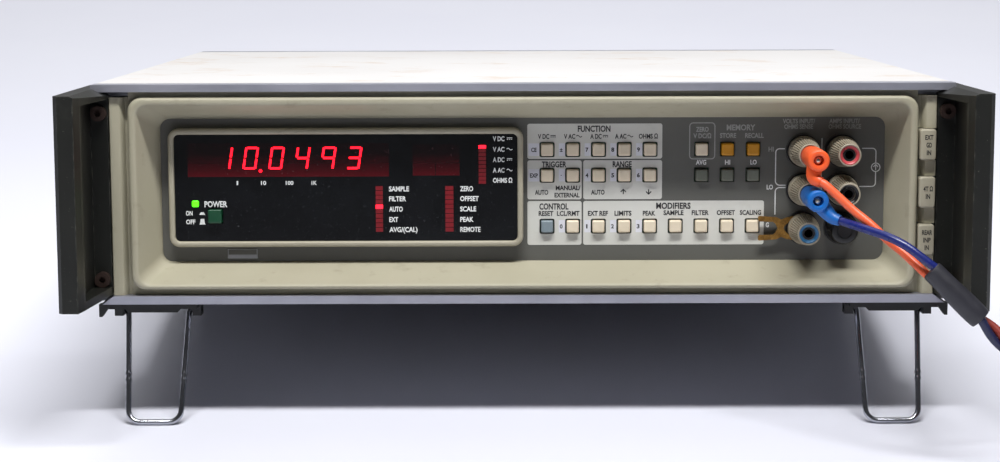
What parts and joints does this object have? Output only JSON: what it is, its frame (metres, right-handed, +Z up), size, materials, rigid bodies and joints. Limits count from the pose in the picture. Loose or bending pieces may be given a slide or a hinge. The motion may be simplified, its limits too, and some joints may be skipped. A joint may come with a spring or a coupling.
{
  "type": "bench multimeter",
  "caption": "Full-rack-width bench multimeter with recessed keyed front panel, binding posts, side handles, folding wire bails and plugged-in test leads.",
  "frame": {"origin": "centre of the footprint of the instrument (without its leads), on the bench", "axes": "+Z up, +X to the right and +Y from the front panel to the rear; the case leans back 7.7 degrees about X on its front bails"},
  "size_m": [0.549, 0.5442, 0.1714],
  "materials": {
    "cover_paint": "matte off-white enamel, lightly stained",
    "bottom_sheet": "satin sheet",
    "chassis_metal": "cast and milled, satin",
    "trim_aluminium": "brushed, satin",
    "handle_paint": "dark olive-black enamel, scuffed edges",
    "screw_steel": "darkened steel",
    "bezel_paint": "beige satin enamel",
    "window_frame_paint": "beige satin enamel",
    "panel_paint": "dark grey matte enamel",
    "window_plastic": "dark filter, dusty",
    "board": "solder mask",
    "rear_paint": "matte enamel",
    "rear_plastic": "moulded",
    "transformer_steel": "laminated core",
    "terminal_black": "moulded",
    "link_brass": "tarnished",
    "foot_plastic": "moulded",
    "bail_chrome": "plated wire",
    "power_green": "moulded",
    "side_button_plastic": "moulded",
    "post_cap_plastic": "ribbed, moulded",
    "fuse_cap_black": "moulded",
    "key_cream": "moulded",
    "key_amber": "moulded",
    "key_dark": "moulded",
    "key_slate": "moulded",
    "plug_plastic": "soft moulded",
    "wire_orange_pvc": "flexible insulation",
    "wire_blue_pvc": "flexible insulation",
    "lead_pvc": "twisted pair insulation"
  },
  "bodies": {
    "case": {"top_cover": "cover_paint", "bottom_cover": "bottom_sheet", "chassis_frame": "chassis_metal", "trim_strips": "trim_aluminium", "handles": "handle_paint", "screws": "screw_steel", "front_bezel": "bezel_paint", "front_panel": "panel_paint", "window_frame": "window_frame_paint", "display_window": "window_plastic", "front_board": "board", "rear_panel": "rear_paint", "rear_fittings": "rear_plastic", "circuit_boards": "board", "transformer": "transformer_steel", "input_terminals": "terminal_black", "shorting_link": "link_brass", "feet": "foot_plastic", "lead_fittings": "plug_plastic", "wire_orange": "wire_orange_pvc", "wire_blue": "wire_blue_pvc", "lead_cable": "lead_pvc", "cable_coil": "lead_pvc"},
    "key_volts_dc": {"key_volts_dc": "key_cream"},
    "key_volts_ac": {"key_volts_ac": "key_cream"},
    "key_amps_dc": {"key_amps_dc": "key_cream"},
    "key_amps_ac": {"key_amps_ac": "key_cream"},
    "key_ohms": {"key_ohms": "key_cream"},
    "key_trigger_auto": {"key_trigger_auto": "key_cream"},
    "key_trigger_manual": {"key_trigger_manual": "key_cream"},
    "key_range_auto": {"key_range_auto": "key_cream"},
    "key_range_up": {"key_range_up": "key_cream"},
    "key_range_down": {"key_range_down": "key_cream"},
    "key_reset": {"key_reset": "key_slate"},
    "key_local_remote": {"key_local_remote": "key_cream"},
    "key_ext_ref": {"key_ext_ref": "key_cream"},
    "key_limits": {"key_limits": "key_cream"},
    "key_peak": {"key_peak": "key_cream"},
    "key_sample": {"key_sample": "key_cream"},
    "key_filter": {"key_filter": "key_cream"},
    "key_offset": {"key_offset": "key_cream"},
    "key_scaling": {"key_scaling": "key_cream"},
    "key_zero": {"key_zero": "key_cream"},
    "key_store": {"key_store": "key_amber"},
    "key_recall": {"key_recall": "key_amber"},
    "key_average": {"key_average": "key_dark"},
    "key_high": {"key_high": "key_dark"},
    "key_low": {"key_low": "key_dark"},
    "button_ext_gate": {"button_ext_gate": "side_button_plastic"},
    "button_four_wire": {"button_four_wire": "side_button_plastic"},
    "button_rear_input": {"button_rear_input": "side_button_plastic"},
    "power_button": {"power_button": "power_green"},
    "cap_volts_high": {"cap_volts_high": "post_cap_plastic"},
    "cap_volts_low": {"cap_volts_low": "post_cap_plastic"},
    "cap_guard": {"cap_guard": "post_cap_plastic"},
    "cap_amps_high": {"cap_amps_high": "post_cap_plastic"},
    "cap_amps_low": {"cap_amps_low": "post_cap_plastic"},
    "fuse_cap": {"fuse_cap": "fuse_cap_black"},
    "bail_left": {"bail_left": "bail_chrome"},
    "bail_right": {"bail_right": "bail_chrome"}
  },
  "joints": [
    {"name": "key_volts_dc_press", "type": "slide", "parent": "case", "child": "key_volts_dc", "axis": [0, 0.9909, -0.1346], "range_m": [0, 0.0015], "stiffness_N_per_m": 300},
    {"name": "key_volts_ac_press", "type": "slide", "parent": "case", "child": "key_volts_ac", "axis": [0, 0.9909, -0.1346], "range_m": [0, 0.0015], "stiffness_N_per_m": 300},
    {"name": "key_amps_dc_press", "type": "slide", "parent": "case", "child": "key_amps_dc", "axis": [0, 0.9909, -0.1346], "range_m": [0, 0.0015], "stiffness_N_per_m": 300},
    {"name": "key_amps_ac_press", "type": "slide", "parent": "case", "child": "key_amps_ac", "axis": [0, 0.9909, -0.1346], "range_m": [0, 0.0015], "stiffness_N_per_m": 300},
    {"name": "key_ohms_press", "type": "slide", "parent": "case", "child": "key_ohms", "axis": [0, 0.9909, -0.1346], "range_m": [0, 0.0015], "stiffness_N_per_m": 300},
    {"name": "key_trigger_auto_press", "type": "slide", "parent": "case", "child": "key_trigger_auto", "axis": [0, 0.9909, -0.1346], "range_m": [0, 0.0015], "stiffness_N_per_m": 300},
    {"name": "key_trigger_manual_press", "type": "slide", "parent": "case", "child": "key_trigger_manual", "axis": [0, 0.9909, -0.1346], "range_m": [0, 0.0015], "stiffness_N_per_m": 300},
    {"name": "key_range_auto_press", "type": "slide", "parent": "case", "child": "key_range_auto", "axis": [0, 0.9909, -0.1346], "range_m": [0, 0.0015], "stiffness_N_per_m": 300},
    {"name": "key_range_up_press", "type": "slide", "parent": "case", "child": "key_range_up", "axis": [0, 0.9909, -0.1346], "range_m": [0, 0.0015], "stiffness_N_per_m": 300},
    {"name": "key_range_down_press", "type": "slide", "parent": "case", "child": "key_range_down", "axis": [0, 0.9909, -0.1346], "range_m": [0, 0.0015], "stiffness_N_per_m": 300},
    {"name": "key_reset_press", "type": "slide", "parent": "case", "child": "key_reset", "axis": [0, 0.9909, -0.1346], "range_m": [0, 0.0015], "stiffness_N_per_m": 300},
    {"name": "key_local_remote_press", "type": "slide", "parent": "case", "child": "key_local_remote", "axis": [0, 0.9909, -0.1346], "range_m": [0, 0.0015], "stiffness_N_per_m": 300},
    {"name": "key_ext_ref_press", "type": "slide", "parent": "case", "child": "key_ext_ref", "axis": [0, 0.9909, -0.1346], "range_m": [0, 0.0015], "stiffness_N_per_m": 300},
    {"name": "key_limits_press", "type": "slide", "parent": "case", "child": "key_limits", "axis": [0, 0.9909, -0.1346], "range_m": [0, 0.0015], "stiffness_N_per_m": 300},
    {"name": "key_peak_press", "type": "slide", "parent": "case", "child": "key_peak", "axis": [0, 0.9909, -0.1346], "range_m": [0, 0.0015], "stiffness_N_per_m": 300},
    {"name": "key_sample_press", "type": "slide", "parent": "case", "child": "key_sample", "axis": [0, 0.9909, -0.1346], "range_m": [0, 0.0015], "stiffness_N_per_m": 300},
    {"name": "key_filter_press", "type": "slide", "parent": "case", "child": "key_filter", "axis": [0, 0.9909, -0.1346], "range_m": [0, 0.0015], "stiffness_N_per_m": 300},
    {"name": "key_offset_press", "type": "slide", "parent": "case", "child": "key_offset", "axis": [0, 0.9909, -0.1346], "range_m": [0, 0.0015], "stiffness_N_per_m": 300},
    {"name": "key_scaling_press", "type": "slide", "parent": "case", "child": "key_scaling", "axis": [0, 0.9909, -0.1346], "range_m": [0, 0.0015], "stiffness_N_per_m": 300},
    {"name": "key_zero_press", "type": "slide", "parent": "case", "child": "key_zero", "axis": [0, 0.9909, -0.1346], "range_m": [0, 0.0015], "stiffness_N_per_m": 300},
    {"name": "key_store_press", "type": "slide", "parent": "case", "child": "key_store", "axis": [0, 0.9909, -0.1346], "range_m": [0, 0.0015], "stiffness_N_per_m": 300},
    {"name": "key_recall_press", "type": "slide", "parent": "case", "child": "key_recall", "axis": [0, 0.9909, -0.1346], "range_m": [0, 0.0015], "stiffness_N_per_m": 300},
    {"name": "key_average_press", "type": "slide", "parent": "case", "child": "key_average", "axis": [0, 0.9909, -0.1346], "range_m": [0, 0.0015], "stiffness_N_per_m": 300},
    {"name": "key_high_press", "type": "slide", "parent": "case", "child": "key_high", "axis": [0, 0.9909, -0.1346], "range_m": [0, 0.0015], "stiffness_N_per_m": 300},
    {"name": "key_low_press", "type": "slide", "parent": "case", "child": "key_low", "axis": [0, 0.9909, -0.1346], "range_m": [0, 0.0015], "stiffness_N_per_m": 300},
    {"name": "button_ext_gate_press", "type": "slide", "parent": "case", "child": "button_ext_gate", "axis": [0, 0.9909, -0.1346], "range_m": [0, 0.003]},
    {"name": "button_four_wire_press", "type": "slide", "parent": "case", "child": "button_four_wire", "axis": [0, 0.9909, -0.1346], "range_m": [0, 0.003]},
    {"name": "button_rear_input_press", "type": "slide", "parent": "case", "child": "button_rear_input", "axis": [0, 0.9909, -0.1346], "range_m": [0, 0.003]},
    {"name": "power_button_press", "type": "slide", "parent": "case", "child": "power_button", "axis": [0, 0.9909, -0.1346], "range_m": [-0.003, 0]},
    {"name": "cap_volts_high_turn", "type": "hinge", "parent": "case", "child": "cap_volts_high", "pos_m": [0.1382, -0.14789, 0.13075], "axis": [0, -0.9909, 0.1346], "range_deg": [0, 720]},
    {"name": "cap_volts_low_turn", "type": "hinge", "parent": "case", "child": "cap_volts_low", "pos_m": [0.1382, -0.15045, 0.11187], "axis": [0, -0.9909, 0.1346], "range_deg": [0, 720]},
    {"name": "cap_guard_turn", "type": "hinge", "parent": "case", "child": "cap_guard", "pos_m": [0.1382, -0.15302, 0.09299], "axis": [0, -0.9909, 0.1346], "range_deg": [0, 720]},
    {"name": "cap_amps_high_turn", "type": "hinge", "parent": "case", "child": "cap_amps_high", "pos_m": [0.15725, -0.14789, 0.13075], "axis": [0, -0.9909, 0.1346], "range_deg": [0, 720]},
    {"name": "cap_amps_low_turn", "type": "hinge", "parent": "case", "child": "cap_amps_low", "pos_m": [0.15725, -0.15045, 0.11187], "axis": [0, -0.9909, 0.1346], "range_deg": [0, 720]},
    {"name": "fuse_cap_turn", "type": "hinge", "parent": "case", "child": "fuse_cap", "pos_m": [0.15725, -0.15302, 0.09299], "axis": [0, -0.9909, 0.1346], "range_deg": [0, 90]},
    {"name": "bail_left_fold", "type": "hinge", "parent": "case", "child": "bail_left", "pos_m": [-0.1815, -0.14258, 0.05096], "axis": [1, 0, 0], "range_deg": [0, 110]},
    {"name": "bail_right_fold", "type": "hinge", "parent": "case", "child": "bail_right", "pos_m": [0.1815, -0.14258, 0.05096], "axis": [1, 0, 0], "range_deg": [0, 110]}
  ]
}
